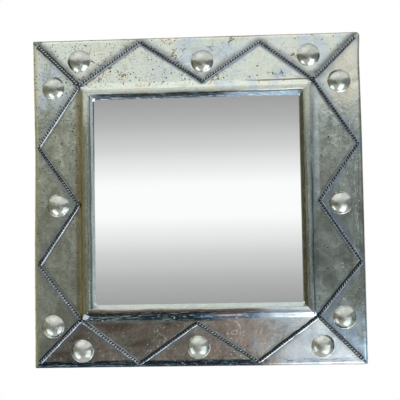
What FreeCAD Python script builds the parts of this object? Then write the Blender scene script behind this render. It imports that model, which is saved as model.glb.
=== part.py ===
import FreeCAD, Part
import math
import os

# A square wall mirror in a folded and soldered tin frame, in millimetres.
# X runs to the right, Z up, and the mirror looks along -Y. The origin is the middle of the wall plane.
# A half size is measured from the middle of the mirror, and a depth from the wall towards the viewer.

# Half widths of the frame, from the glass outwards
GLASS_HALF = 100.0
REBATE_WIDTH = 3.2
FLANK_WIDTH = 4.5
BEAD_WIDTH = 4.7
SHOULDER_WIDTH = 4.5
FACE_WIDTH = 44.5
SIGHT_HALF = GLASS_HALF - REBATE_WIDTH
BEAD_INNER_HALF = SIGHT_HALF + FLANK_WIDTH
BEAD_OUTER_HALF = BEAD_INNER_HALF + BEAD_WIDTH
VALLEY_HALF = BEAD_OUTER_HALF + SHOULDER_WIDTH
OUTER_HALF = VALLEY_HALF + FACE_WIDTH

# Depths of the frame, from the rim up to the bead and down to the lip that rests on the glass
RIM_DEPTH = 15.8
FACE_RISE = 3.5
BEAD_RISE = 2.7
FLANK_DROP = 8.0
VALLEY_DEPTH = RIM_DEPTH + FACE_RISE
BEAD_DEPTH = VALLEY_DEPTH + BEAD_RISE
LIP_DEPTH = BEAD_DEPTH - FLANK_DROP

# Frame sheet, with its hem at the wall and the outside radii of its bends
SHEET = 0.5
HEM_WIDTH = 8.0
HEM_BEND = 1.2
RIM_BEND = 3.0
VALLEY_BEND = 3.0
BEAD_OUTER_BEND = 1.8
BEAD_INNER_BEND = 1.8

# What lies behind the sight opening
GLASS_THICKNESS = 3.0
BOARD_THICKNESS = 2.0
PLATE_THICKNESS = 0.5
PANE_GAP = 0.3
PLATE_REAR_DEPTH = LIP_DEPTH - GLASS_THICKNESS - BOARD_THICKNESS - PLATE_THICKNESS

# Strips round the glass, with tabs bent over the back plate
STRIP_THICKNESS = 0.5
TAB_PLACE_SHARE = 0.6
TAB_WIDTH = 12.0
TAB_LENGTH = 9.0

# Twisted wires soldered on the faces, as plain round wires cut away where the sheet is
WIRE_RADIUS = 1.35
WIRE_SEAT = 0.15
WIRE_BEND = 3.0
WIRE_CORNER_OVERHANG = 0.5
WIRE_MIDDLE_MARGIN = 1.7
WIRE_PEAK_MARGIN = 4.4
WIRE_END_MARGIN = 5.0
WIRE_PEAK_SHARE = 0.493
WIRE_BUTT_GAP = 0.3
WIRE_CORNER_HALF = VALLEY_HALF - WIRE_CORNER_OVERHANG
WIRE_MIDDLE_HALF = VALLEY_HALF + WIRE_MIDDLE_MARGIN
WIRE_PEAK_HALF = OUTER_HALF - WIRE_PEAK_MARGIN
WIRE_END_HALF = OUTER_HALF - WIRE_END_MARGIN

# The handmade drift of each side's three wire bends, clockwise along the side and outwards
BEND_DRIFTS = {
    "top": [(2.2, 0.4), (6.9, -1.0), (6.7, -2.8)],
    "right": [(4.8, 0.0), (3.2, 1.2), (6.1, 0.6)],
    "bottom": [(-0.1, 0.4), (1.5, 2.0), (1.7, 1.0)],
    "left": [(-4.8, -0.8), (-2.5, -1.0), (-1.6, -0.8)],
}

# Domed tin caps
DOME_RADIUS = 10.5
DOME_HEIGHT = 5.3
DOME_SHEET = 0.5
DOME_FACE_SHARE = 0.54
DOME_HALF = VALLEY_HALF + DOME_FACE_SHARE * FACE_WIDTH

# The handmade drift of each side's three domes, clockwise along the side and outwards
DOME_DRIFTS = {
    "top": [(-0.1, -0.5), (6.9, -3.9), (-3.4, -0.7)],
    "right": [(1.4, 0.0), (5.5, -1.0), (1.1, -0.2)],
    "bottom": [(-3.7, 2.6), (1.1, 2.3), (-0.4, 4.6)],
    "left": [(-6.1, 2.3), (-2.9, -3.4), (-1.3, 0.3)],
}

# D-ring and its strap on the back plate
RING_WIRE_RADIUS = 1.0
RING_HALF_WIDTH = 9.0
RING_SHOULDER_BEND = 2.5
RING_SIDE = 1.5
RING_TOP_MARGIN = 20.0
RING_PLATE_GAP = 0.4
EYE_RUNNING_GAP = 0.06
EYE_WALL = 0.6
STRAP_THICKNESS = 0.6
STRAP_SIDE_GAP = 0.5
STRAP_LENGTH = 20.0
STRAP_WIDTH = 2 * (RING_HALF_WIDTH - RING_SHOULDER_BEND - STRAP_SIDE_GAP)
RING_DROP = RING_SHOULDER_BEND + RING_SIDE + RING_HALF_WIDTH
RING_HEIGHT = GLASS_HALF - RING_TOP_MARGIN
RING_DEPTH = PLATE_REAR_DEPTH - STRAP_THICKNESS - RING_PLATE_GAP - RING_WIRE_RADIUS

# How far a cutting body passes what it cuts, and the distance under which two points are one
OVERRUN = 10.0
SAME_PLACE = 0.001

QUARTER_TURN = 90.0
SIDES = ["top", "right", "bottom", "left"]
CORNERS = ["top_right", "bottom_right", "bottom_left", "top_left"]

FACE_FALL = FACE_RISE / FACE_WIDTH
FACE_NORMAL = FreeCAD.Vector(0, -1, FACE_FALL).normalize()
FLANK_SLOPE = FLANK_DROP / FLANK_WIDTH
LIP_WIDTH = SHEET * math.hypot(1, FLANK_SLOPE) / FLANK_SLOPE


def at(along, depth, across):
    """A point of the top side: along it, in front of the wall, and out from the middle."""
    return FreeCAD.Vector(along, -depth, across)


def turned(shape, quarters):
    """A copy turned about the middle of the mirror, clockwise as the viewer sees it."""
    copy = shape.copy()
    copy.rotate(FreeCAD.Vector(), FreeCAD.Vector(0, 1, 0), quarters * QUARTER_TURN)
    return copy


def rounded_run(points, bends):
    """Edges of a run of straight lines, with an arc of the given bend radius at each inner corner."""
    edges = []
    start = points[0]
    for before, corner, after, bend in zip(points, points[1:], points[2:], bends):
        back = (before - corner).normalize()
        ahead = (after - corner).normalize()
        half_turn = (math.pi - back.getAngle(ahead)) / 2
        inward = (back + ahead).normalize()
        centre = corner + inward * (bend / math.cos(half_turn))
        arc_start = corner + back * (bend * math.tan(half_turn))
        arc_end = corner + ahead * (bend * math.tan(half_turn))
        if start.distanceToPoint(arc_start) > SAME_PLACE:
            edges.append(Part.LineSegment(start, arc_start).toShape())
        edges.append(Part.Arc(arc_start, centre - inward * bend, arc_end).toShape())
        start = arc_end
    edges.append(Part.LineSegment(start, points[-1]).toShape())
    return edges


def prism(corners, half_length):
    """A straight bar along the top side with the given section."""
    outline = Part.makePolygon(corners + corners[:1])
    return bar(Part.Face(outline), half_length)


def bar(face, half_length):
    """A section of the top side drawn out to both sides of the middle."""
    moved = face.copy()
    moved.translate(FreeCAD.Vector(-half_length, 0, 0))
    return moved.extrude(FreeCAD.Vector(2 * half_length, 0, 0))


def round_rod(edges, radius):
    """A round rod that follows a run of edges."""
    start = edges[0].Vertexes[0].Point
    heading = edges[0].tangentAt(edges[0].FirstParameter)
    section = Part.Wire(Part.Circle(start, heading, radius).toShape())
    return Part.Wire(edges).makePipeShell([section], True, False)


def mitre_wedge():
    """The quarter of the space that belongs to the top side, between the two mitre planes."""
    reach = OUTER_HALF + OVERRUN
    corners = [at(0, 0, 0), at(reach, 0, reach), at(-reach, 0, reach)]
    outline = Part.makePolygon(corners + corners[:1])
    return Part.Face(outline).extrude(at(0, BEAD_DEPTH + OVERRUN, 0))


def face_depth(across):
    """Depth of the sloping face of the top side, or of that plane carried on."""
    return RIM_DEPTH + (OUTER_HALF - across) * FACE_FALL


def behind_front():
    """All that lies behind the top side's sloping face and the bead's outer shoulder."""
    reach = OUTER_HALF + OVERRUN
    front = [
        at(0, BEAD_DEPTH, 0),
        at(0, BEAD_DEPTH, BEAD_OUTER_HALF),
        at(0, VALLEY_DEPTH, VALLEY_HALF),
        at(0, face_depth(reach), reach),
    ]
    edges = rounded_run(front, [BEAD_OUTER_BEND, VALLEY_BEND])
    rest = [front[-1], at(0, 0, reach), at(0, 0, 0), front[0]]
    edges += [Part.LineSegment(start, end).toShape() for start, end in zip(rest, rest[1:])]
    return bar(Part.Face(Part.Wire(Part.__sortEdges__(edges))), reach)


def flank_back_depth(across):
    """Depth of the back of the steep flank that goes down to the glass."""
    return LIP_DEPTH + (across - SIGHT_HALF - LIP_WIDTH) * FLANK_SLOPE


def sheet_back(corners):
    """The inner corners of a sheet whose outer corners are given, from the hem to the lip."""
    inner = [corners[0] + at(0, SHEET, 0)]
    for before, corner, after in zip(corners, corners[1:], corners[2:]):
        back = (before - corner).normalize()
        ahead = (after - corner).normalize()
        left = back.cross(FreeCAD.Vector(1, 0, 0))
        half_turn = (math.pi - back.getAngle(ahead)) / 2
        inward = (back + ahead).normalize()
        side = math.copysign(1, left.dot(inward))
        inner.append(corner + inward * (side * SHEET / math.cos(half_turn)))
    inner.append(corners[-1] + at(0, 0, LIP_WIDTH))
    return inner


def frame_side():
    """One mitred length of the folded sheet."""
    outer = [
        at(0, 0, OUTER_HALF - HEM_WIDTH),
        at(0, 0, OUTER_HALF),
        at(0, RIM_DEPTH, OUTER_HALF),
        at(0, VALLEY_DEPTH, VALLEY_HALF),
        at(0, BEAD_DEPTH, BEAD_OUTER_HALF),
        at(0, BEAD_DEPTH, BEAD_INNER_HALF),
        at(0, LIP_DEPTH, SIGHT_HALF),
    ]
    bends = [HEM_BEND, RIM_BEND, VALLEY_BEND, BEAD_OUTER_BEND, BEAD_INNER_BEND]
    back_steps = [-SHEET, -SHEET, SHEET, -SHEET, -SHEET]
    back_bends = [bend + step for bend, step in zip(bends, back_steps)]
    inner = sheet_back(outer)
    edges = rounded_run(outer, bends)
    edges.append(Part.LineSegment(outer[-1], inner[-1]).toShape())
    edges += rounded_run(inner, back_bends)
    edges.append(Part.LineSegment(inner[0], outer[0]).toShape())
    section = Part.Face(Part.Wire(Part.__sortEdges__(edges)))
    return bar(section, OUTER_HALF).common(mitre_wedge())


def glazing_strip():
    """A strip behind the flank, beside the glass, with two tabs bent over the back plate."""
    inner = GLASS_HALF + PANE_GAP
    outer = inner + STRIP_THICKNESS
    rear = PLATE_REAR_DEPTH - STRIP_THICKNESS
    wall = prism([
        at(0, rear, inner),
        at(0, rear, outer),
        at(0, flank_back_depth(outer), outer),
        at(0, flank_back_depth(inner), inner),
    ], outer)
    strip = wall.common(mitre_wedge())
    for share in (-TAB_PLACE_SHARE, TAB_PLACE_SHARE):
        corner = at(share * GLASS_HALF - TAB_WIDTH / 2, PLATE_REAR_DEPTH, outer - TAB_LENGTH)
        strip = strip.fuse(Part.makeBox(TAB_WIDTH, STRIP_THICKNESS, TAB_LENGTH, corner))
    return strip.removeSplitter()


def pane(half_size, front_depth, thickness):
    """A square sheet in the middle of the frame."""
    return Part.makeBox(2 * half_size, thickness, 2 * half_size, at(-half_size, front_depth, -half_size))


def on_face(along, across, lift):
    """A point over the top side's face, lifted off it."""
    return at(along, face_depth(across), across) + FACE_NORMAL * lift


def zigzag_wire(name):
    """The wire on one side: corner, outer peak, middle, outer peak, corner."""
    lift = WIRE_RADIUS - WIRE_SEAT
    peak_place = WIRE_PEAK_SHARE * WIRE_CORNER_HALF
    bends = [(-peak_place, WIRE_PEAK_HALF), (0, WIRE_MIDDLE_HALF), (peak_place, WIRE_PEAK_HALF)]
    points = [on_face(-WIRE_CORNER_HALF, WIRE_CORNER_HALF, lift)]
    for (along, across), (drift, outward) in zip(bends, BEND_DRIFTS[name]):
        points.append(on_face(along + drift, across + outward, lift))
    points.append(on_face(WIRE_CORNER_HALF, WIRE_CORNER_HALF, lift))
    points[0] += (points[0] - points[1]).normalize() * OVERRUN
    points[-1] += (points[-1] - points[-2]).normalize() * OVERRUN
    rod = round_rod(rounded_run(points, [WIRE_BEND] * (len(points) - 2)), WIRE_RADIUS)
    return rod.common(mitre_wedge()).cut(behind_front())


def corner_wire():
    """The straight wire over the top right mitre, flattened where it rests on the two faces."""
    start = at(WIRE_CORNER_HALF, face_depth(WIRE_CORNER_HALF), WIRE_CORNER_HALF)
    end = at(WIRE_END_HALF, face_depth(WIRE_END_HALF), WIRE_END_HALF)
    heading = (end - start).normalize()
    sideways = at(1, 0, -1)
    lift = heading.cross(sideways).normalize() * (WIRE_RADIUS - WIRE_SEAT)
    if lift.dot(FACE_NORMAL) < 0:
        lift = lift * -1
    start = start + heading * (WIRE_RADIUS + WIRE_BUTT_GAP) + lift
    length = (end + lift - start).Length
    rod = Part.makeCylinder(WIRE_RADIUS, length, start, heading)
    return rod.cut(behind_front().common(turned(behind_front(), 1)))


def dome():
    """A hollow cap of a ball that stands on its rim at the origin, with its crown up."""
    ball = (DOME_RADIUS ** 2 + DOME_HEIGHT ** 2) / (2 * DOME_HEIGHT)
    centre = DOME_HEIGHT - ball
    inner_ball = ball - DOME_SHEET
    inner_radius = math.sqrt(inner_ball ** 2 - centre ** 2)
    half_angle = math.asin(DOME_RADIUS / ball) / 2
    inner_half_angle = math.asin(inner_radius / inner_ball) / 2
    rim = FreeCAD.Vector(DOME_RADIUS, 0, 0)
    crown = FreeCAD.Vector(0, 0, DOME_HEIGHT)
    inner_rim = FreeCAD.Vector(inner_radius, 0, 0)
    inner_crown = FreeCAD.Vector(0, 0, DOME_HEIGHT - DOME_SHEET)
    over = FreeCAD.Vector(ball * math.sin(half_angle), 0, centre + ball * math.cos(half_angle))
    under = FreeCAD.Vector(
        inner_ball * math.sin(inner_half_angle), 0, centre + inner_ball * math.cos(inner_half_angle)
    )
    outline = Part.Wire([
        Part.Arc(rim, over, crown).toShape(),
        Part.LineSegment(crown, inner_crown).toShape(),
        Part.Arc(inner_crown, under, inner_rim).toShape(),
        Part.LineSegment(inner_rim, rim).toShape(),
    ])
    return Part.Face(outline).revolve(FreeCAD.Vector(), FreeCAD.Vector(0, 0, 1), 4 * QUARTER_TURN)


def dome_on_face(along, across):
    """A dome seated square on the top side's face."""
    tilt = FreeCAD.Rotation(FreeCAD.Vector(0, 0, 1), FACE_NORMAL)
    cap = dome()
    cap.Placement = FreeCAD.Placement(on_face(along, across, 0), tilt)
    return cap


def side_domes(name):
    """The three domes of one side, in clockwise order."""
    caps = []
    for along, (drift, outward) in zip([-WIRE_CORNER_HALF, 0, WIRE_CORNER_HALF], DOME_DRIFTS[name]):
        caps.append(dome_on_face(along + drift, DOME_HALF + outward))
    return caps


def hanger_strap():
    """A tin leaf on the back plate with a rolled eye at its top."""
    eye_radius = RING_WIRE_RADIUS + EYE_RUNNING_GAP
    half_width = STRAP_WIDTH / 2
    eye_start = at(-half_width, RING_DEPTH, RING_HEIGHT)
    leaf_corner = at(-half_width, PLATE_REAR_DEPTH, RING_HEIGHT + eye_radius - STRAP_LENGTH)
    leaf = Part.makeBox(STRAP_WIDTH, STRAP_THICKNESS, STRAP_LENGTH, leaf_corner)
    roll = Part.makeCylinder(eye_radius + EYE_WALL, STRAP_WIDTH, eye_start, FreeCAD.Vector(1, 0, 0))
    eye = Part.makeCylinder(eye_radius, STRAP_WIDTH, eye_start, FreeCAD.Vector(1, 0, 0))
    return leaf.fuse(roll).cut(eye).removeSplitter()


def hanger_ring():
    """A D-ring that hangs from its straight bar."""
    bar_half = RING_HALF_WIDTH - RING_SHOULDER_BEND
    low = RING_HEIGHT - RING_DROP
    points = [
        at(bar_half - RING_SHOULDER_BEND, RING_DEPTH, RING_HEIGHT),
        at(RING_HALF_WIDTH, RING_DEPTH, RING_HEIGHT),
        at(RING_HALF_WIDTH, RING_DEPTH, low),
        at(-RING_HALF_WIDTH, RING_DEPTH, low),
        at(-RING_HALF_WIDTH, RING_DEPTH, RING_HEIGHT),
        at(RING_SHOULDER_BEND - bar_half, RING_DEPTH, RING_HEIGHT),
    ]
    bends = [RING_SHOULDER_BEND, RING_HALF_WIDTH, RING_HALF_WIDTH, RING_SHOULDER_BEND]
    loop = round_rod(rounded_run(points, bends), RING_WIRE_RADIUS)
    middle_bar = Part.makeCylinder(
        RING_WIRE_RADIUS, points[0].distanceToPoint(points[-1]), points[-1], FreeCAD.Vector(1, 0, 0)
    )
    return loop.fuse(middle_bar).removeSplitter()


def all_pieces():
    """Every piece of the mirror by its node name."""
    pieces = {}
    side = frame_side()
    strip = glazing_strip()
    for quarters, name in enumerate(SIDES):
        ends = [SIDES[quarters - 1], "middle", SIDES[(quarters + 1) % len(SIDES)]]
        pieces["frame_side_" + name] = turned(side, quarters)
        pieces["glazing_strip_" + name] = turned(strip, quarters)
        pieces["zigzag_wire_" + name] = turned(zigzag_wire(name), quarters)
        for end, cap in zip(ends, side_domes(name)):
            pieces["dome_" + name + "_" + end] = turned(cap, quarters)
    diagonal = corner_wire()
    for quarters, name in enumerate(CORNERS):
        pieces["corner_wire_" + name] = turned(diagonal, quarters)
    board_front = LIP_DEPTH - GLASS_THICKNESS
    pieces["mirror_pane"] = pane(GLASS_HALF, LIP_DEPTH, GLASS_THICKNESS)
    pieces["backing_board"] = pane(GLASS_HALF, board_front, BOARD_THICKNESS)
    pieces["back_plate"] = pane(GLASS_HALF, board_front - BOARD_THICKNESS, PLATE_THICKNESS)
    pieces["hanger_strap"] = hanger_strap()
    pieces["hanger_ring"] = hanger_ring()
    return pieces


os.makedirs("parts", exist_ok=True)
for node, shape in all_pieces().items():
    shape.exportStep("parts/" + node + ".step")
    print(node, shape.ShapeType, len(shape.Solids), shape.isValid(), round(shape.Volume, 2))
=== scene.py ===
import math

import bpy
from mathutils import Matrix, Vector, kdtree, noise

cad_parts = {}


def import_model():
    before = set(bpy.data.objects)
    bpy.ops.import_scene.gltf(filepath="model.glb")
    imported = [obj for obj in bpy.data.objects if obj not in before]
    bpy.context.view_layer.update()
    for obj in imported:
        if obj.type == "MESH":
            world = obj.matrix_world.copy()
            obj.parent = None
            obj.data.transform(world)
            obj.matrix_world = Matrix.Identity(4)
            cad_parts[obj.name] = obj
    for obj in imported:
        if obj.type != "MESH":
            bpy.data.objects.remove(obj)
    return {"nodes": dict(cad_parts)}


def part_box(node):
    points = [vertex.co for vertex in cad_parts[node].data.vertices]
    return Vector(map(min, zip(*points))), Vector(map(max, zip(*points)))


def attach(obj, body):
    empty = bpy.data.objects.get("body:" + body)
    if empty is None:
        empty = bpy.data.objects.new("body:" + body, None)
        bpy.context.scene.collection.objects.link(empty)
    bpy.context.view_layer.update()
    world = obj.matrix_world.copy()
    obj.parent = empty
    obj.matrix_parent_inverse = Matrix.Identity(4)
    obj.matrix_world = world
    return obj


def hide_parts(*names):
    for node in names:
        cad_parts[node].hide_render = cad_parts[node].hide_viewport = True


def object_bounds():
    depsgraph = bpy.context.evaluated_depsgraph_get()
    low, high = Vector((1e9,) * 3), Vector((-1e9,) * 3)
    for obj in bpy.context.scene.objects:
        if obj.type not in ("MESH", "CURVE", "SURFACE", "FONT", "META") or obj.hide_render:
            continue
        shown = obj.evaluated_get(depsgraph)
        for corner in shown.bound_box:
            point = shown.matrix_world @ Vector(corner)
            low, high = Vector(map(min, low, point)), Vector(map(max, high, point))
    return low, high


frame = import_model()
cad_low, cad_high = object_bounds()

# A square mirror in a folded tin frame. X runs right, Z up, and the mirror looks along -Y.
# Lengths are in millimetres in the shape functions and become metres when a mesh is made.
MM = 0.001
SIDES = ["top", "right", "bottom", "left"]
CORNERS = ["top_right", "bottom_right", "bottom_left", "top_left"]

# The frame's section, as half widths from the middle, depths in front of the wall and bends
OUTER_HALF = cad_high.x / MM
FACE_WIDTH = 44.5
SHOULDER_WIDTH = 4.5
BEAD_WIDTH = 4.7
FLANK_WIDTH = 4.5
VALLEY_HALF = OUTER_HALF - FACE_WIDTH
BEAD_OUTER_HALF = VALLEY_HALF - SHOULDER_WIDTH
BEAD_INNER_HALF = BEAD_OUTER_HALF - BEAD_WIDTH
SIGHT_HALF = BEAD_INNER_HALF - FLANK_WIDTH
HEM_WIDTH = 8.0
RIM_DEPTH = 15.8
VALLEY_DEPTH = 19.3
BEAD_DEPTH = 22.0
LIP_DEPTH = 14.0
LIP_WIDTH = 0.574
SHEET = 0.5
FACE_FALL = (VALLEY_DEPTH - RIM_DEPTH) / FACE_WIDTH
HEM_BEND = 1.2
RIM_BEND = 3.6
VALLEY_BEND = 8.0
BEAD_OUTER_BEND = 3.4
BEAD_INNER_BEND = 4.2

# How fine the meshes are
SIDE_STEPS = 190
BEND_STEPS = 8
FLAT_STEP = 1.6
FLANK_STEP = 1.2
ROUTE_STEP = 0.35
STRAND_SPOKES = 8
BED_STRIDE = 3
LUMP_RINGS, LUMP_SPOKES = 9, 16
DOME_RINGS, DOME_SPOKES = 22, 72

# The steepest angle between faces that is still shaded as smooth, in degrees
SHEET_SMOOTH = 50.0
WIRE_SMOOTH = 60.0
SOLDER_SMOOTH = 180.0
DOME_SMOOTH = 35.0

# Roundings of the outer corners, in the order of CORNERS
CORNER_ROUNDS = [3.4, 5.0, 1.4, 1.6]

# Handmade unevenness of the sheet, and how soon it fades towards a fold
SWELL_DEPTH = 0.45
SWELL_SIZE = 34.0
SWELL_OFF_FACE = 0.25
DENT_DEPTH = 0.16
DENT_SIZE = 9.0
FOLD_FADE = 6.0
SIGHT_FADE = 4.0
RIM_WANDER = 0.25
RIM_WANDER_SIZE = 40.0
RIM_FADE = 25.0
BEAD_WANDER = 1.1
BEAD_WANDER_SIZE = 24.0
BEAD_WANDER_REACH = 4.5
BEAD_FADE = 14.0

# Knocks in the sheet, as x, z, width, height and depth, and bows of the rim, as place, width and depth
KNOCKS = [(149.6, 107.0, 2.2, 2.8, 0.8), (146.0, 117.0, 2.4, 3.6, 0.5), (-6.0, 141.0, 7.0, 3.0, 0.3)]
RIM_BOWS = {"left": (45.0, 62.0, 1.0), "right": (-135.0, 45.0, 0.7)}

# Twisted wires
WIRE_RADIUS = 1.35
STRAND_RADIUS = 0.71
TWIST_LENGTH = 5.6
WIRE_LIFT = 1.2
WIRE_BEND = 2.6
WIRE_CORNER_HALF = VALLEY_HALF - 0.5
WIRE_MIDDLE_HALF = VALLEY_HALF + 1.7
WIRE_PEAK_HALF = OUTER_HALF - 4.4
WIRE_END_HALF = OUTER_HALF - 5.0
WIRE_PEAK_PLACE = 0.493 * WIRE_CORNER_HALF
WIRE_BUTT = WIRE_RADIUS + 0.3
BEND_DRIFTS = {
    "top": [(2.2, 0.4), (6.9, -1.0), (6.7, -2.8)],
    "right": [(4.8, 0.0), (3.2, 1.2), (6.1, 0.6)],
    "bottom": [(-0.1, 0.4), (1.5, 2.0), (1.7, 1.0)],
    "left": [(-4.8, -0.8), (-2.5, -1.0), (-1.6, -0.8)],
}

# Half of the solder bed's section, as shares of its reach and of the wire's lift, and a seam's section
BED_REACH = 2.1
BED_SHAPE = [(1.0, -0.12), (0.85, 0.04), (0.7, 0.12), (0.55, 0.3), (0.45, 0.55), (0.34, 0.75)]
SEAM_SHAPE = [(-0.55, -0.25), (-0.35, 0.02), (0.0, 0.1), (0.35, 0.02), (0.55, -0.25)]

# How brightly the solder is painted as lit on the right and left of each run of a wire, painted light and
# shade, and how worn the wire is there, which also sets how light the whole run is painted: wear and painted
# light.
# A zigzag's right is towards the glass, and a corner wire runs outwards.
WIRE_LOOKS = {
    "top": [(0.6, 0.62, 0.9), (0.35, 0.55, 0.3), (0.62, 0.62, 0.85), (0.45, 0.6, 0.4)],
    "right": [(0.35, 0.65, 0.15), (0.35, 0.5, 0.35), (0.45, 0.75, 0.05), (0.0, 0.65, 0.3)],
    "bottom": [(0.0, 1.0, 0.1), (0.6, 0.2, 0.35), (0.15, 0.76, 0.0), (0.6, 0.6, 0.5)],
    "left": [(0.35, 0.5, 0.42), (0.75, 0.0, 0.1), (0.4, 0.5, 0.28), (0.78, 0.5, 0.55)],
    "top_right": [(0.45, 0.5, 0.9)],
    "bottom_right": [(0.65, 0.3, 0.5)],
    "bottom_left": [(0.15, 0.8, 0.4)],
    "top_left": [(0.15, 0.35, 0.7)],
}

# Lumps of solder, as half sizes along, outwards, across and inwards, in the order of CORNERS
SIGHT_LUMP_HALF = SIGHT_HALF + 0.9
SIGHT_LUMP_DEPTH = LIP_DEPTH + 1.0
SIGHT_LUMPS = [(3.6, 1.5, 1.7, 1.5), (3.0, 1.3, 1.5, 1.3), (4.8, 2.0, 2.5, 2.0), (4.2, 1.8, 2.2, 1.8)]
VALLEY_LUMP_HALF = VALLEY_HALF - 3.6
VALLEY_LUMP_DEPTH = VALLEY_DEPTH + 1.7
VALLEY_LUMPS = [(1.4, 0.5, 2.0, 0.5), (1.4, 0.5, 2.0, 0.5), (2.4, 0.22, 4.4, 2.0), (1.4, 0.5, 2.0, 0.5)]
TIP_LUMP_HALF = WIRE_END_HALF + 1.9
TIP_LUMP = (1.5, 0.7, 3.2, 0.7)
TIP_LUMP_CORNERS = ["bottom_right", "top_left"]
STRAP_LUMP = (5.0, 0.6, 1.3, 0.6)
STRIP_LUMP = (2.2, 0.6, 3.6, 0.6)
# How brightly the lumps are painted as lit: a painted highlight on the corner lumps, duller painted shade on
# the wire tips and on the back.
LUMP_LIGHT = 1.0
TIP_LUMP_LIGHT = 0.45
BACK_LUMP_LIGHT = 0.3

# How far the valley lumps lie to the right and forwards, and how they tilt rightwards and upwards
VALLEY_LUMP_SHIFTS = [(0.0, 0.0), (0.0, 0.0), (2.2, 0.7), (0.0, 0.0)]
VALLEY_LUMP_TILTS = [(0.0, 0.0), (0.0, 0.0), (0.03, 0.2), (0.0, 0.0)]

# Domes, and the solder at a dome's foot as reach beyond its edge and height
DOME_RADIUS = 10.5
DOME_HEIGHT = 5.3
DOME_FACE_SHARE = 0.54
DOME_FOOT = [(0.55, -0.3), (0.4, 0.02), (0.15, 0.1), (0.0, 0.3)]
DOME_DENT = 0.08
# The way that the solder at a dome's foot is painted as lit.
DOME_LIT_WAY = Vector((0.6, 0.0, -0.8))
# Where and how wide a painted dark reflection band lies below a dome's middle, as shares of its radius.
HORIZON_SHADE_PLACE = -0.2
HORIZON_SHADE_WIDTH = 0.26
CROWN_WIDTH = 0.4
DOME_PITTING = {"top": 0.25, "right": 0.15, "bottom": 0.2, "left": 1.0}
DOME_HALF = VALLEY_HALF + DOME_FACE_SHARE * FACE_WIDTH
DOME_DRIFTS = {
    "top": [(-0.1, -0.5), (6.9, -3.9), (-3.4, -0.7)],
    "right": [(1.4, 0.0), (5.5, -1.0), (1.1, -0.2)],
    "bottom": [(-3.7, 2.6), (1.1, 2.3), (-0.4, 4.6)],
    "left": [(-6.1, 2.3), (-2.9, -3.4), (-1.3, 0.3)],
}


def at(along, depth, across):
    """A point of the top side: along it, in front of the wall, and out from the middle."""
    return Vector((along, -depth, across))


def turned(point, quarters):
    """The point turned about the middle of the mirror, clockwise as the viewer sees it."""
    for _ in range(quarters):
        point = Vector((point.z, point.y, -point.x))
    return point


def smooth_step(low, high, value):
    """0 at low and before, 1 at high and beyond, and an even rise between."""
    share = min(1.0, max(0.0, (value - low) / (high - low)))
    return share * share * (3 - 2 * share)


def rough(point, size, seed=0.0):
    """Noise from 0 to 1 that changes over about that size."""
    shifted = point / size + Vector((seed, seed * 1.7, seed * 0.6))
    return 0.5 + 0.5 * max(-1.0, min(1.0, noise.noise(shifted)))


def bell(value, middle, width):
    """1 at the middle, falling off smoothly over about the width."""
    return math.exp(-(((value - middle) / width) ** 2))


def sink(point):
    """How far the uneven sheet lies behind the true one at a point of the front."""
    across = max(abs(point.x), abs(point.z))
    flat = Vector((point.x, 0, point.z))
    sloping = smooth_step(VALLEY_HALF - 1, VALLEY_HALF + FOLD_FADE, across)
    sloping *= 1 - smooth_step(OUTER_HALF - FOLD_FADE, OUTER_HALF - 1, across)
    swell = SWELL_DEPTH * rough(flat, SWELL_SIZE, 2.0) * (SWELL_OFF_FACE + (1 - SWELL_OFF_FACE) * sloping)
    dent = DENT_DEPTH * rough(flat, DENT_SIZE, 5.0)
    knock = sum(depth * bell(point.x, x, wide) * bell(point.z, z, high) for x, z, wide, high, depth in KNOCKS)
    return (swell + dent + knock) * smooth_step(SIGHT_HALF, SIGHT_HALF + SIGHT_FADE, across)


def face_depth(across):
    """Depth of the true sloping face."""
    return RIM_DEPTH + (OUTER_HALF - across) * FACE_FALL


def on_face(along, across, lift=0.0):
    """A point over the uneven face of the top side's shape, before it is turned."""
    return at(along, face_depth(across) + lift, across)


def settle(point):
    """A point of the front moved back with the uneven sheet under it."""
    return point + Vector((0, sink(point), 0))


def build(name, points, faces, replaced, smooth_angle, layers):
    """A mesh object in metres that rides on the mirror."""
    mesh = bpy.data.meshes.new(name)
    mesh.from_pydata([point * MM for point in points], [], faces)
    mesh.update()
    for layer, values in layers.items():
        attribute = mesh.attributes.new(layer, "FLOAT", "POINT")
        attribute.data.foreach_set("value", values)
    mesh.polygons.foreach_set("use_smooth", [True] * len(mesh.polygons))
    mesh.set_sharp_from_angle(angle=math.radians(smooth_angle))
    piece = bpy.data.objects.new(name, mesh)
    bpy.context.scene.collection.objects.link(piece)
    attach(piece, "mirror")
    if replaced:
        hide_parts(*replaced)
    return piece


def bend_points(before, corner, after, bend):
    """Where a rounded bend starts and ends, its centre and half of its turn."""
    back = (before - corner).normalized()
    ahead = (after - corner).normalized()
    half_turn = (math.pi - back.angle(ahead)) / 2
    inward = (back + ahead).normalized()
    centre = corner + inward * (bend / math.cos(half_turn))
    reach = bend * math.tan(half_turn)
    return corner + back * reach, corner + ahead * reach, centre, half_turn


def ahead_at(line, i):
    """The way a line of points runs at one of them."""
    return line[min(i + 1, len(line) - 1)] - line[max(i - 1, 0)]


def ring_faces(rows, size, first=0):
    """The faces between rows of points that each close into a ring."""
    faces = []
    for j in range(rows - 1):
        near, far = first + j * size, first + (j + 1) * size
        for i in range(size):
            k = (i + 1) % size
            faces.append((near + i, near + k, far + k, far + i))
    return faces


def tube_faces(rows, size, first=0):
    """The faces of a closed tube, its two ends too."""
    last = first + (rows - 1) * size
    ends = [[first + i for i in range(size)][::-1], [last + i for i in range(size)]]
    return ring_faces(rows, size, first) + ends


# Wire routes


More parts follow.
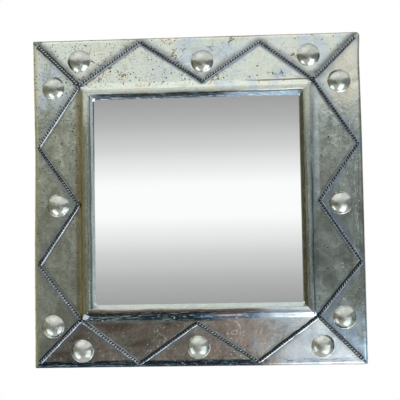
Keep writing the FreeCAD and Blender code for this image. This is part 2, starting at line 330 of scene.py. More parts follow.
def zigzag_corners(side):
    """The bends of one side's zigzag wire, as (along, across)."""
    bends = [(-WIRE_PEAK_PLACE, WIRE_PEAK_HALF), (0, WIRE_MIDDLE_HALF), (WIRE_PEAK_PLACE, WIRE_PEAK_HALF)]
    drifted = [(a + along, u + out) for (a, u), (along, out) in zip(bends, BEND_DRIFTS[side])]
    return [(-WIRE_CORNER_HALF, WIRE_CORNER_HALF), *drifted, (WIRE_CORNER_HALF, WIRE_CORNER_HALF)]


def rounded_route(corners, bend, step):
    """Points along a run of straight lines with rounded bends, about one step apart."""
    route = []
    start = corners[0]
    for before, corner, after in zip(corners, corners[1:], corners[2:]):
        first, last, centre, half_turn = bend_points(before, corner, after, bend)
        count = max(1, round((first - start).length / step))
        route += [start.lerp(first, i / count) for i in range(count)]
        swing = (first - centre).rotation_difference(last - centre)
        turns = max(2, round(2 * half_turn * bend / step * 2))
        for i in range(turns):
            part = swing.copy()
            part.angle = swing.angle * i / turns
            route.append(centre + part @ (first - centre))
        start = last
    count = max(1, round((corners[-1] - start).length / step))
    route += [start.lerp(corners[-1], i / count) for i in range(count + 1)]
    return route


def run_looks(side, quarters, route):
    """The entry of the wire looks for each point of a side's zigzag."""
    bends = [along for along, _ in zigzag_corners(side)[1:-1]]
    looks = []
    for point in route:
        along = turned(point, 4 - quarters).x
        looks.append(WIRE_LOOKS[side][sum(along > bend for bend in bends)])
    return looks


def wire_routes():
    """Every wire's name, node, centre line on the true face and looks along it."""
    routes = []
    for quarters, side in enumerate(SIDES):
        corners = [on_face(a, u, WIRE_LIFT) for a, u in zigzag_corners(side)]
        route = [turned(p, quarters) for p in rounded_route(corners, WIRE_BEND, ROUTE_STEP)]
        looks = run_looks(side, quarters, route)
        routes.append(("zigzag_twist_" + side, "zigzag_wire_" + side, route, looks))
    for quarters, corner in enumerate(CORNERS):
        start = WIRE_CORNER_HALF + WIRE_BUTT / math.sqrt(2)
        ends = [on_face(u, u, WIRE_LIFT) for u in (start, WIRE_END_HALF)]
        count = round((ends[1] - ends[0]).length / ROUTE_STEP)
        route = [turned(ends[0].lerp(ends[1], i / count), quarters) for i in range(count + 1)]
        looks = WIRE_LOOKS[corner] * len(route)
        routes.append(("corner_twist_" + corner, "corner_wire_" + corner, route, looks))
    return routes


ROUTES = wire_routes()
WIRE_TREE = kdtree.KDTree(sum(len(route) for _, _, route, _ in ROUTES))
for spot in [point for _, _, route, _ in ROUTES for point in route]:
    WIRE_TREE.insert(Vector((spot.x, 0, spot.z)), 0)
WIRE_TREE.balance()


def wire_offset(along, across, point, side):
    """Distance to the nearest wire as seen from the front, below zero on the glass side."""
    distance = WIRE_TREE.find(Vector((point.x, 0, point.z)))[2]
    corners = zigzag_corners(side)
    for (a0, u0), (a1, u1) in zip(corners, corners[1:]):
        if a0 <= along <= a1 and across < u0 + (u1 - u0) * (along - a0) / (a1 - a0):
            return -distance
    return distance


# Frame sheet


def section_run():
    """The visible outline of the sheet from the hem to the lip, as (across, depth)."""
    corners = [
        (OUTER_HALF - HEM_WIDTH, 0.0, 0.0),
        (OUTER_HALF, 0.0, HEM_BEND),
        (OUTER_HALF, RIM_DEPTH, RIM_BEND),
        (VALLEY_HALF, VALLEY_DEPTH, VALLEY_BEND),
        (BEAD_OUTER_HALF, BEAD_DEPTH, BEAD_OUTER_BEND),
        (BEAD_INNER_HALF, BEAD_DEPTH, BEAD_INNER_BEND),
        (SIGHT_HALF, LIP_DEPTH, 0.0),
    ]
    run = []
    start = Vector(corners[0][:2])
    for i in range(1, len(corners) - 1):
        before, corner, after = (Vector(corners[i + k][:2]) for k in (-1, 0, 1))
        bend = corners[i][2]
        first, last, centre, _ = bend_points(before, corner, after, bend)
        count = max(1, math.ceil((first - start).length / FLAT_STEP))
        run += [start.lerp(first, k / count) for k in range(count)]
        arm = first - centre
        swing = arm.angle_signed(last - centre)
        for k in range(BEND_STEPS):
            turn = Matrix.Rotation(-swing * k / BEND_STEPS, 2)
            run.append(centre + turn @ arm)
        start = last
    end = Vector(corners[-1][:2])
    count = math.ceil((end - start).length / FLANK_STEP)
    run += [start.lerp(end, k / count) for k in range(count + 1)]
    return run


def section_back(run):
    """The other face of the sheet, one thickness behind the visible one."""
    back = []
    for i, point in enumerate(run):
        ahead = ahead_at(run, i)
        left = Vector((-ahead.y, ahead.x)).normalized()
        back.append(point + left * SHEET)
    back[-1] = Vector((SIGHT_HALF + LIP_WIDTH, LIP_DEPTH))
    return back


def round_corner(along, across, quarters):
    """Pulls the square outer corner in to a rounded one."""
    limit = OUTER_HALF - CORNER_ROUNDS[quarters if along > 0 else quarters - 1]
    over_along = abs(along) - limit
    over_across = across - limit
    if over_along <= 0 or over_across <= 0:
        return along, across
    reach = max(over_along, over_across)
    spread = math.hypot(over_along, over_across)
    along = math.copysign(limit + over_along / spread * reach, along)
    return along, limit + over_across / spread * reach


def rim_pull(side, along):
    """How far the outer edge has been bent in at a place along a side."""
    pull = RIM_WANDER * rough(Vector((along, 11.0 * SIDES.index(side), 0)), RIM_WANDER_SIZE, 7.0)
    place, width, depth = RIM_BOWS.get(side, (0.0, 1.0, 0.0))
    return pull + depth * bell(along, place, width)


def sheet_point(section, share, quarters):
    """A point of one side's sheet: share runs from -1 to 1 between the mitres."""
    along, across = round_corner(section.x * share, section.x, quarters)
    rim = smooth_step(OUTER_HALF - RIM_FADE, OUTER_HALF, across)
    free = smooth_step(OUTER_HALF, OUTER_HALF - RIM_FADE, abs(along))
    across -= rim_pull(SIDES[quarters], along) * rim * free
    on_bead = bell(across, (BEAD_OUTER_HALF + BEAD_INNER_HALF) / 2, BEAD_WANDER_REACH)
    clear = smooth_step(BEAD_OUTER_HALF, BEAD_OUTER_HALF - BEAD_FADE, abs(along))
    wander = rough(Vector((along, 9.0 * quarters, 3.0)), BEAD_WANDER_SIZE, 11.0) - 0.5
    across += BEAD_WANDER * wander * on_bead * clear
    point = turned(at(along, section.y, across), quarters)
    front = smooth_step(RIM_DEPTH * 0.3, RIM_DEPTH * 0.8, section.y)
    return point + Vector((0, sink(point) * front, 0))


def weather_and_sheen(side, along, across, point):
    """How the sheet looks at a point: pale whitish oxide with painted light, clean metal with a painted
    window reflection, painted shade, pitting and soot.
    """
    offset = wire_offset(along, across, point, side)
    near = bell(max(offset, 0.0), 0.0, 7.0)
    pale, clean_sheen, low_shade, pitting, soot = 0.0, 0.0, 0.0, 0.1, 0.0
    # Paleness is whitish oxide with painted light: the top side pale all over, the left and right sides paler
    # towards the top.
    if side == "top":
        pale = 1.0
        soot = bell((across - abs(along)) / math.sqrt(2), 1.5, 4.2)
        soot *= smooth_step(VALLEY_HALF, VALLEY_HALF + 7, across)
        pitting = 0.12 + 0.9 * bell(point.x, -115, 80) + 0.7 * near * smooth_step(60, -10, point.x)
    elif side == "left":
        pale = smooth_step(40, 140, point.z)
        pitting = 0.18 + 0.95 * smooth_step(20, 120, point.z) + 0.3 * near
    elif side == "right":
        pale = 0.85 * smooth_step(50, 125, point.z)
        # Clean metal with a painted window reflection, stronger towards the bottom of the right side.
        clean_sheen = smooth_step(60, 145, -point.z)
        # Painted shade low on the right side, above its painted window reflection.
        low_shade = smooth_step(30, -50, point.z) * (1 - clean_sheen)
    else:
        # Clean metal with a painted window reflection, stronger towards the right of the bottom side.
        outside = smooth_step(-1.0, 1.0, offset)
        clean_sheen = (0.62 + 0.36 * outside) * smooth_step(-60 + 85 * outside, 94 + 16 * outside, point.x)
    return {
        "wire": offset, "pale": pale, "clean_sheen": clean_sheen, "low_shade": low_shade, "pitting": pitting, "soot": soot,
        "across": across, "along": along,
    }


def frame_side(quarters, side):
    """One mitred length of uneven sheet, with its inside."""
    run = section_run()
    loop = run + section_back(run)[::-1]
    size = len(loop)
    points, layers = [], {}
    for j in range(SIDE_STEPS + 1):
        share = 2 * j / SIDE_STEPS - 1
        for i, section in enumerate(loop):
            points.append(sheet_point(section, share, quarters))
            values = weather_and_sheen(side, section.x * share, section.x, points[-1])
            values["inside"] = float(i >= len(run))
            for layer, value in values.items():
                layers.setdefault(layer, []).append(value)
    faces = ring_faces(SIDE_STEPS + 1, size)
    last = SIDE_STEPS * size
    for i in range(len(run) - 1):
        a, b, c, d = i, i + 1, size - 2 - i, size - 1 - i
        faces.append((a, d, c, b))
        faces.append((last + a, last + b, last + c, last + d))
    return build("tin_side_" + side, points, faces, ["frame_side_" + side], SHEET_SMOOTH, layers)


# Wires and solder


def route_frames(route):
    """For each point of a route: its heading, the way out of the sheet and the way across."""
    frames = []
    for i, point in enumerate(route):
        heading = ahead_at(route, i).normalized()
        out = Vector((0, -1, 0))
        if abs(point.z) >= abs(point.x):
            out.z = math.copysign(FACE_FALL, point.z)
        else:
            out.x = math.copysign(FACE_FALL, point.x)
        sideways = heading.cross(out).normalized()
        frames.append((settle(point), heading, sideways.cross(heading).normalized(), sideways))
    return frames


def facing_right(direction):
    """From 0 for a direction to the left of the picture to 1 for one to the right."""
    return 0.5 + 0.5 * max(-1.0, min(1.0, 1.4 * direction.x))


def strand(route, looks, phase, points, layers):
    """One strand of the twist, as points round a helix."""
    travelled = 0.0
    frames = route_frames(route)
    arm = WIRE_RADIUS - STRAND_RADIUS
    tilt = math.atan(2 * math.pi * arm / TWIST_LENGTH)
    for i, (centre, heading, out, sideways) in enumerate(frames):
        if i:
            travelled += (centre - frames[i - 1][0]).length
        angle = phase + 2 * math.pi * travelled / TWIST_LENGTH
        spoke = out * math.sin(angle) + sideways * math.cos(angle)
        swing = out * math.cos(angle) - sideways * math.sin(angle)
        run = heading * math.cos(tilt) + swing * math.sin(tilt)
        wide = run.cross(spoke).normalized()
        middle = centre + spoke * arm
        right, left, worn = looks[i]
        for k in range(STRAND_SPOKES):
            turn = 2 * math.pi * k / STRAND_SPOKES
            offset = (spoke * math.cos(turn) + wide * math.sin(turn)) * STRAND_RADIUS
            points.append(middle + offset)
            reach = spoke * arm + offset
            layers["crown"].append((reach.dot(out) / WIRE_RADIUS + 1) / 2)
            layers["lit"].append(right if reach.dot(sideways) > 0 else left)
            layers["worn"].append(worn)


def twisted_wire(name, node, route, looks):
    """Two strands laid round each other."""
    points, faces = [], []
    layers = {"crown": [], "lit": [], "worn": []}
    for phase in (0.0, math.pi):
        faces += tube_faces(len(route), STRAND_SPOKES, len(points))
        strand(route, looks, phase, points, layers)
    return build(name, points, faces, [node], WIRE_SMOOTH, layers)


def solder_bed(name, route, looks):
    """The low run of solder under a wire and along both its sides, each side painted as lit or shaded."""
    shape = [(-share, height) for share, height in BED_SHAPE] + BED_SHAPE[::-1]
    points, lit = [], []
    frames = route_frames(route[::BED_STRIDE])
    for (centre, _, out, sideways), look in zip(frames, looks[::BED_STRIDE]):
        for share, height in shape:
            seed = 3.0 if share < 0 else 9.0
            uneven = 0.62 + 0.5 * rough(centre, 6.0, seed) + 0.25 * rough(centre, 1.8, seed + 1)
            wide = sideways * (share * BED_REACH * uneven)
            points.append(centre + out * (height * WIRE_LIFT - WIRE_LIFT) + wide)
            lit.append(look[0] if share > 0 else look[1])
    faces = tube_faces(len(frames), len(shape))
    return build(name, points, faces, (), SOLDER_SMOOTH, {"lit": lit})


def lump(name, middle, along, out, sizes, light):
    """A small uneven drop of solder with half sizes along, outwards, across and inwards, painted as lit to
    the given level.
    """
    long, outward, broad, inward = sizes
    across = out.cross(along).normalized()
    points = []
    for j in range(1, LUMP_RINGS):
        tilt = math.pi * j / LUMP_RINGS
        for k in range(LUMP_SPOKES):
            turn = 2 * math.pi * k / LUMP_SPOKES
            rise = math.cos(tilt) * (outward if math.cos(tilt) > 0 else inward)
            arm = along * (math.sin(tilt) * math.cos(turn) * long) + out * rise
            arm += across * (math.sin(tilt) * math.sin(turn) * broad)
            points.append(middle + arm * (0.8 + 0.4 * rough(middle + arm, 1.6, 6.0)))
    faces = tube_faces(LUMP_RINGS - 1, LUMP_SPOKES)
    return build(name, points, faces, (), SOLDER_SMOOTH, {"lit": [light] * len(points)})


def corner_lumps():
    """The solder in the frame's inner corners, at the glass and the wires, and at two wire tips."""
    made = []
    forward = Vector((0, -1, 0))
    for quarters, corner in enumerate(CORNERS):
        along = turned(Vector((1, 0, -1)).normalized(), quarters)
        middle = turned(at(SIGHT_LUMP_HALF, SIGHT_LUMP_DEPTH, SIGHT_LUMP_HALF), quarters)
        made.append(lump("sight_solder_" + corner, middle, along, forward, SIGHT_LUMPS[quarters], LUMP_LIGHT))
        right, nearer = VALLEY_LUMP_SHIFTS[quarters]
        middle = turned(at(VALLEY_LUMP_HALF, VALLEY_LUMP_DEPTH + nearer, VALLEY_LUMP_HALF), quarters)
        middle.x += right
        rightwards, upwards = VALLEY_LUMP_TILTS[quarters]
        out = Vector((rightwards, -1, upwards)).normalized()
        made.append(lump("valley_solder_" + corner, middle, along, out, VALLEY_LUMPS[quarters], LUMP_LIGHT))
        if corner in TIP_LUMP_CORNERS:
            middle = settle(turned(on_face(TIP_LUMP_HALF, TIP_LUMP_HALF), quarters))
            made.append(lump("tip_solder_" + corner, middle, along, forward, TIP_LUMP, TIP_LUMP_LIGHT))
    return made


def back_lumps():
    """The solder that holds the strap and joins the strips at their corners."""
    made = []
    out = Vector((0, 1, 0))
    strap_low, strap_high = ([v / MM for v in corner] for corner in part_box("hanger_strap"))
    plate_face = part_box("back_plate")[1][1] / MM
    for end, x in (("left", strap_low[0]), ("right", strap_high[0])):
        middle = Vector((x, plate_face, strap_low[2] + STRAP_LUMP[0]))
        made.append(lump("strap_solder_" + end, middle, Vector((0, 0, 1)), out, STRAP_LUMP, BACK_LUMP_LIGHT))
    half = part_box("glazing_strip_top")[1][0] / MM - STRIP_LUMP[2] / math.sqrt(2)
    strip_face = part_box("glazing_strip_top")[1][1] / MM
    for quarters, corner in enumerate(CORNERS):
        along = turned(Vector((1, 0, -1)).normalized(), quarters)
        middle = turned(at(half, -strip_face, half), quarters)
        made.append(lump("strip_solder_" + corner, middle, along, out, STRIP_LUMP, BACK_LUMP_LIGHT))
    return made


def seam(name, quarters):
    """The low line of solder over a mitre, from the glass to the wires, painted lighter on its side that
    faces right.
    """
    run = [p for p in section_run() if SIGHT_HALF + 1 < p.x < VALLEY_HALF + 1]
    line = [settle(turned(at(p.x, p.y, p.x), quarters)) for p in run]
    side = turned(Vector((1, 0, -1)).normalized(), quarters)
    points, lit = [], []
    for i, point in enumerate(line):
        heading = ahead_at(line, i).normalized()
        out = side.cross(heading).normalized()
        if out.y > 0:
            out = -out
        uneven = 0.6 + 0.8 * rough(point, 2.5, 5.0)
        for share, height in SEAM_SHAPE:
            points.append(point + side * (share * uneven) + out * (height * uneven))
            # Painted light on the side facing right, painted shade on the other.
            lit.append(facing_right(side * math.copysign(1.0, share)))
    faces = tube_faces(len(line), len(SEAM_SHAPE))
    return build(name, points, faces, (), SOLDER_SMOOTH, {"lit": lit})


# Domes


def dome_outline():
    """The dome's outline from its soldered foot to its crown, as (radius, height)."""
    ball = (DOME_RADIUS ** 2 + DOME_HEIGHT ** 2) / (2 * DOME_HEIGHT)
    edge = math.asin(DOME_RADIUS / ball)
    outline = [(DOME_RADIUS + reach, height) for reach, height in DOME_FOOT]
    for i in range(1, DOME_RINGS + 1):
        angle = edge * (1 - i / DOME_RINGS) * 0.985
        outline.append((ball * math.sin(angle), DOME_HEIGHT - ball + ball * math.cos(angle)))
    return outline


def dome(name, node, along, across, quarters):
    """A punched tin cap with a little solder round its foot."""
    outline = dome_outline()
    rows = len(outline) - 1
    foot_rows = len(DOME_FOOT) - 1
    foot = settle(turned(on_face(along, across), quarters))
    out = turned(Vector((0, -1, FACE_FALL)).normalized(), quarters)
    wide = turned(Vector((1, 0, 0)), quarters)
    high = out.cross(wide).normalized()
    points = []
    layers = {"foot": [], "lit": [], "painted_horizon_shade": [], "crown": []}
    for i, (radius, height) in enumerate(outline[:rows]):
        for k in range(DOME_SPOKES):
            turn = 2 * math.pi * k / DOME_SPOKES
            ray = wide * math.cos(turn) + high * math.sin(turn)
            uneven = 1.0
            if i < foot_rows:
                lie = rough(foot + ray * radius, 3.0, 4.0) - 0.6
                uneven = 1 + 0.09 * lie * (foot_rows - i) / foot_rows
            dent = DOME_DENT * rough(foot + ray * radius * 0.8, 6.0, 8.0) * smooth_step(0.3, 2.0, height)
            points.append(foot + ray * (radius * uneven) + out * (height - dent))
            layers["foot"].append(1.0 if i < foot_rows else 0.0)
            layers["lit"].append(0.5 + 0.5 * ray.dot(DOME_LIT_WAY))
            layers["painted_horizon_shade"].append(bell(ray.z * radius / DOME_RADIUS, HORIZON_SHADE_PLACE, HORIZON_SHADE_WIDTH))
            layers["crown"].append(bell(radius / DOME_RADIUS, 0.0, CROWN_WIDTH))
    tip = len(points)
    points.append(foot + out * (outline[-1][1] - DOME_DENT * rough(foot, 6.0, 8.0)))
    at_tip = {"foot": 0.0, "lit": 0.5, "painted_horizon_shade": bell(0.0, HORIZON_SHADE_PLACE, HORIZON_SHADE_WIDTH), "crown": 1.0}
    for layer, value in at_tip.items():
        layers[layer].append(value)
    layers["pitting"] = [DOME_PITTING[SIDES[quarters]]] * len(points)
    faces = ring_faces(rows, DOME_SPOKES)
    top = (rows - 1) * DOME_SPOKES
    faces += [(top + k, top + (k + 1) % DOME_SPOKES, tip) for k in range(DOME_SPOKES)]
    faces.append(list(range(DOME_SPOKES))[::-1])
    return build(name, points, faces, [node], DOME_SMOOTH, layers)


def domes():
    """The twelve domes, three to a side."""
    made = []
    for quarters, side in enumerate(SIDES):
        ends = [SIDES[quarters - 1], "middle", SIDES[(quarters + 1) % 4]]
        places = [-WIRE_CORNER_HALF, 0, WIRE_CORNER_HALF]
        for end, along, (drift, out) in zip(ends, places, DOME_DRIFTS[side]):
            node = "dome_" + side + "_" + end
            made.append(dome("stud_" + side + "_" + end, node, along + drift, DOME_HALF + out, quarters))
    return made


# Node materials


class Graph:
    """Short ways to write a material's nodes."""

    def __init__(self, name):
        self.material = bpy.data.materials.new(name)
        self.material.use_nodes = True
        self.tree = self.material.node_tree
        self.shader = self.tree.nodes["Principled BSDF"]
        self.place = self.node("ShaderNodeTexCoord").outputs["Object"]

    def node(self, kind, **settings):
        made = self.tree.nodes.new(kind)
        for key, value in settings.items():
            setattr(made, key, value)
        return made

    def put(self, socket, value):
        if isinstance(value, bpy.types.NodeSocket):
            self.tree.links.new(value, socket)
        else:
            socket.default_value = value

    def layer(self, name):
        return self.node("ShaderNodeAttribute", attribute_name=name).outputs["Fac"]

    def moved(self, shift=(0, 0, 0), scale=(1, 1, 1)):
        made = self.node("ShaderNodeMapping")
        self.put(made.inputs["Vector"], self.place)
        self.put(made.inputs["Location"], shift)
        self.put(made.inputs["Scale"], scale)
        return made.outputs["Vector"]

    def noise(self, size, detail=4.0, rough=0.55, warp=0.0, coords=None):
        made = self.node("ShaderNodeTexNoise")
        self.put(made.inputs["Vector"], coords or self.place)
        self.put(made.inputs["Scale"], 1.0 / (size * MM))
        self.put(made.inputs["Detail"], detail)
        self.put(made.inputs["Roughness"], rough)
        self.put(made.inputs["Distortion"], warp)
        return made.outputs["Fac"]

    def cell_edges(self, size, coords):
        made = self.node("ShaderNodeTexVoronoi", feature="DISTANCE_TO_EDGE")
        self.put(made.inputs["Vector"], coords)
        self.put(made.inputs["Scale"], 1.0 / (size * MM))
        return made.outputs["Distance"]

    def warped(self, size, reach):
        """Coordinates pushed about by a coarse noise."""
        made = self.node("ShaderNodeTexNoise")
        self.put(made.inputs["Vector"], self.place)
        self.put(made.inputs["Scale"], 1.0 / (size * MM))
        push = self.node("ShaderNodeVectorMath", operation="MULTIPLY_ADD")
        self.put(push.inputs[0], made.outputs["Color"])
        self.put(push.inputs[1], (reach * MM,) * 3)
        self.put(push.inputs[2], self.place)
        return push.outputs["Vector"]

    def specks(self, size, largest, share, shift):
        """Round spots of many sizes in a share of the cells of that size."""
        made = self.node("ShaderNodeTexVoronoi")
        self.put(made.inputs["Vector"], self.moved(shift))
        self.put(made.inputs["Scale"], 1.0 / (size * MM))
        split = self.node("ShaderNodeSeparateColor")
        self.put(split.inputs[0], made.outputs["Color"])
        chosen = self.maths("LESS_THAN", split.outputs[0], share)
        reach = self.blend(largest * 0.5, largest, split.outputs[1])
        spot = self.ramp(made.outputs["Distance"], reach, self.times(reach, 0.65))
        return self.times(spot, chosen)

    def ramp(self, value, low, high, low_out=0.0, high_out=1.0):
        made = self.node("ShaderNodeMapRange", interpolation_type="SMOOTHSTEP")
        sockets = ("Value", "From Min", "From Max", "To Min", "To Max")
        for socket, number in zip(sockets, (value, low, high, low_out, high_out)):
            self.put(made.inputs[socket], number)
        return made.outputs["Result"]

    def maths(self, operation, first, second=0.0):
        made = self.node("ShaderNodeMath", operation=operation)
        self.put(made.inputs[0], first)
        self.put(made.inputs[1], second)
        return made.outputs[0]

    def times(self, first, second):
        return self.maths("MULTIPLY", first, second)

    def plus(self, first, second):
        return self.maths("ADD", first, second)

    def minus(self, first, second):
        return self.maths("SUBTRACT", first, second)

    def lay(self, under, paint, first, second):
        """One colour laid over another by the product of two shares."""
        return self.mix(under, paint, self.times(first, second))

    def mix(self, first, second, share, blend="MIX"):
        made = self.node("ShaderNodeMix", data_type="RGBA", blend_type=blend)
        self.put(made.inputs["Factor"], share)
        self.put(made.inputs[6], first)
        self.put(made.inputs[7], second)
        return made.outputs[2]

    def blend(self, first, second, share):
        made = self.node("ShaderNodeMix", data_type="FLOAT")
        self.put(made.inputs["Factor"], share)
        self.put(made.inputs[2], first)
        self.put(made.inputs[3], second)
        return made.outputs[0]

    def bump(self, height, distance, normal=None):
        made = self.node("ShaderNodeBump")
        self.put(made.inputs["Height"], height)
        self.put(made.inputs["Distance"], distance * MM)
        self.put(made.inputs["Strength"], 1.0)
        if normal is not None:
            self.put(made.inputs["Normal"], normal)
        return made.outputs["Normal"]

    def set(self, **inputs):
        for key, value in inputs.items():
            self.put(self.shader.inputs[key.replace("_", " ")], value)


def tone(red, green, blue):
    """A colour given as screen values from 0 to 255."""
    def linear(value):
        value /= 255.0
        return value / 12.92 if value <= 0.04045 else ((value + 0.055) / 1.055) ** 2.4
    return (linear(red), linear(green), linear(blue), 1.0)


def between(g, value, low, high, soft):
    """1 where a value lies between two limits, with soft ends."""
    return g.times(g.ramp(value, low - soft, low + soft), g.ramp(value, high + soft, high - soft))


def tin(side):
    """Aged tin plate of one side of the frame, with that side's reflections, highlights and shade partly
    painted into its colour.
    """
    look = TIN_LOOKS[side]
    g = Graph("tin_" + side)
    wire, across, along, pale, clean_sheen = (g.layer(name) for name in ("wire", "across", "along", "pale", "clean_sheen"))
    inside, pitting = g.layer("inside"), g.layer("pitting")
    level = side in ("top", "bottom")
    drawn = (0.12, 1.0, 1.0) if level else (1.0, 1.0, 0.12)
    sweeping = (0.4, 1.0, 1.0) if level else (1.0, 1.0, 0.4)
    broad = g.noise(40.0, 3.0, 0.5, 0.5)
    patch = g.noise(24.0, 4.0, 0.6, 0.8, g.moved((0.31, 0.12, 0.73)))
    middle = g.noise(9.0, 5.0, 0.62, 0.6, g.moved((0.8, 0.2, 0.4)))
    fine = g.noise(2.0, 5.0, 0.65, 0.2, g.moved((0.5, 0.9, 0.2)))
    streak = g.noise(3.0, 5.0, 0.6, 0.4, g.moved((0.2, 0.6, 0.9), drawn))
    thin_streak = g.noise(0.9, 4.0, 0.6, 0.3, g.moved((0.7, 0.1, 0.5), drawn))

    # The pale tone: whitish oxide, which also stands for the painted light of the top.
    bloom_and_sheen = g.mix(tone(224, 232, 220), tone(231, 230, 210), g.ramp(patch, 0.5, 0.64))
    bloom_and_sheen = g.lay(bloom_and_sheen, tone(204, 218, 224), g.ramp(broad, 0.48, 0.6), g.ramp(along, -60.0, 0.0))
    bloom_and_sheen = g.lay(bloom_and_sheen, tone(182, 187, 172), g.ramp(middle, 0.54, 0.72), 0.5)
    stain = g.noise(5.0, 5.0, 0.7, 1.2, g.moved((0.15, 0.35, 0.55)))
    bloom_and_sheen = g.lay(bloom_and_sheen, tone(150, 156, 146), g.ramp(stain, 0.6, 0.7), 0.35)
    metal = g.mix(look["main"], look["second"], g.ramp(patch, 0.4, 0.62))
    metal = g.lay(metal, look["third"], g.ramp(middle, 0.48, 0.62), 0.8)
    metal = g.lay(metal, look["third"], g.ramp(broad, 0.45, 0.6), 0.6)
    metal = g.lay(metal, look["light"], g.ramp(streak, 0.6, 0.74), 0.4)
    # Clean metal tones, which also carry the painted window reflection at the lower right.
    clean = g.mix(look["clean"], look["clean_shade"], g.ramp(g.blend(patch, middle, 0.25), 0.44, 0.6))
    clean = g.lay(clean, tone(244, 246, 238), g.ramp(patch, 0.55, 0.66), 0.4)
    share = g.ramp(g.plus(pale, g.times(g.minus(patch, 0.5), 0.9)), 0.25, 0.75)
    colour = g.mix(metal, bloom_and_sheen, share)
    clear = g.ramp(g.plus(clean_sheen, g.times(g.minus(middle, 0.5), 0.7)), 0.3, 0.9)
    colour = g.mix(colour, clean, clear)
    grain = g.ramp(clear, 0.2, 1.0, 1.0, 0.2)
    speckle = g.mix(tone(88, 86, 74), tone(240, 240, 235), g.ramp(fine, 0.38, 0.6))
    colour = g.lay(colour, speckle, grain, 0.12)
    sweep = g.noise(22.0, 4.0, 0.6, 0.5, g.moved((0.9, 0.4, 0.3), sweeping))
    sweep_share, sweep_light, sweep_dark = look["sweep"]
    sweep_share = g.times(g.minus(1.0, clear), sweep_share)
    colour = g.lay(colour, sweep_light, g.ramp(sweep, 0.52, 0.66), sweep_share)
    colour = g.lay(colour, sweep_dark, g.ramp(sweep, 0.48, 0.34), sweep_share)
    # Painted shade low on the right side.
    colour = g.lay(colour, tone(92, 96, 90), g.layer("low_shade"), g.ramp(patch, 0.3, 0.7, 0.3, 0.7))

    smear = g.times(g.minus(patch, 0.35), 14.0)
    halo = g.times(g.ramp(wire, 0.0, 0.6), g.ramp(wire, g.plus(smear, look["halo_reach"]), 1.5))
    stained = g.lay(look["halo"], look["halo_dark"], g.ramp(middle, 0.5, 0.66), g.ramp(wire, 5.0, 2.0))
    colour = g.lay(colour, stained, halo, look["halo_share"])
    lee = g.times(g.ramp(wire, 0.0, -0.6), g.ramp(wire, -4.6, -2.2))
    colour = g.lay(colour, look["lee"], lee, 0.8)
    sooted = g.times(g.layer("soot"), g.ramp(middle, 0.38, 0.6, 0.45, 0.85))
    colour = g.mix(colour, tone(88, 94, 94), sooted)

    wave = g.noise(26.0, 4.0, 0.55, 0.3, g.moved((0.6, 0.7, 0.1), drawn))
    ripple = g.noise(5.0, 3.0, 0.5, 0.3, g.moved((0.4, 0.3, 0.5), drawn))
    uneven = g.plus(g.times(g.minus(wave, 0.5), 2.2), g.times(g.minus(ripple, 0.5), 1.6))
    edge = g.plus(across, uneven)
    outside_sheen = g.minus(1.0, clear)
    flecks = g.times(g.specks(2.2, 0.34, g.times(look["drops"], 1.6), (0.3, 0.9, 0.1)), 0.9)
    spots = g.maths("MAXIMUM", g.ramp(thin_streak, 0.52, 0.64), flecks)
    # Bands along the moulding, fold and rim: mostly painted reflection, highlight and shade, with some
    # tarnish.
    for low, high, soft, first, second, strength, keeps, start, end in look["bands"]:
        band = between(g, edge, low, high, soft)
        band = g.times(band, between(g, along, start, end, 14.0))
        paint = g.mix(tone(*first), tone(*second), spots)
        band = g.times(band, strength)
        colour = g.mix(colour, paint, band if keeps else g.times(band, outside_sheen))

    front = g.times(g.ramp(across, BEAD_OUTER_HALF, VALLEY_HALF), g.minus(1.0, inside))
    pits = g.specks(3.6, 0.29, g.times(pitting, 0.75), (0.1, 0.5, 0.9))
    small = g.specks(2.0, 0.28, g.times(pitting, 0.7), (0.6, 0.3, 0.2))
    pits = g.times(g.maths("MAXIMUM", pits, small), front)
    colour = g.lay(colour, g.mix(tone(42, 42, 34), tone(84, 78, 62), g.ramp(patch, 0.55, 0.65)), pits, 0.92)
    rim = g.times(g.ramp(across, 140.0, 149.0), g.ramp(patch, 0.5, 0.56))
    drop_share = g.times(g.plus(1.0, g.times(rim, 3.0)), look["drops"])
    drops = g.times(g.specks(3.2, 0.3, drop_share, (0.9, 0.8, 0.3)), front)
    colour = g.lay(colour, tone(236, 242, 236), drops, 0.8)
    crack = g.cell_edges(24.0, g.warped(6.0, 14.0))
    crack = g.times(g.ramp(crack, 0.026, 0.01), g.ramp(patch, 0.56, 0.6))
    crack = g.times(g.times(crack, front), look["cracks"])
    line = between(g, g.noise(11.0, 0.5, 0.5, 1.4, g.moved((0.2, 0.8, 0.6))), 0.48, 0.515, 0.012)
    for near_along, near_across, near_reach in look["curls"]:
        off = g.plus(g.maths("POWER", g.minus(along, near_along), 2.0),
                     g.maths("POWER", g.minus(across, near_across), 2.0))
        curl = g.times(line, g.ramp(off, near_reach * near_reach, 0.4 * near_reach * near_reach))
        curl = g.times(curl, front)
        colour = g.lay(colour, tone(248, 250, 244), curl, 0.85)
    colour = g.lay(colour, tone(86, 76, 54), crack, 0.85)
    colour = g.lay(colour, tone(120, 118, 106), inside, 0.8)

    dull = g.times(share, 0.14)
    gloss = g.plus(g.ramp(middle, 0.35, 0.75, 0.16, 0.32), dull)
    gloss = g.plus(gloss, g.times(g.maths("MAXIMUM", pits, inside), 0.25))
    gloss = g.minus(gloss, g.times(clear, 0.05))
    haze = g.times(share, g.ramp(g.plus(broad, fine), 0.8, 1.2, 0.05, 0.4))
    relief = g.bump(g.times(g.minus(middle, g.times(broad, 0.6)), grain), 0.3)
    worn = g.minus(g.times(fine, grain), g.plus(g.times(pits, 2.5), crack))
    relief = g.bump(worn, 0.035, relief)
    relief = g.bump(g.times(thin_streak, grain), 0.02, relief)
    g.set(Base_Color=colour, Metallic=g.minus(1.0, haze), Roughness=gloss, Normal=relief)
    return g.material


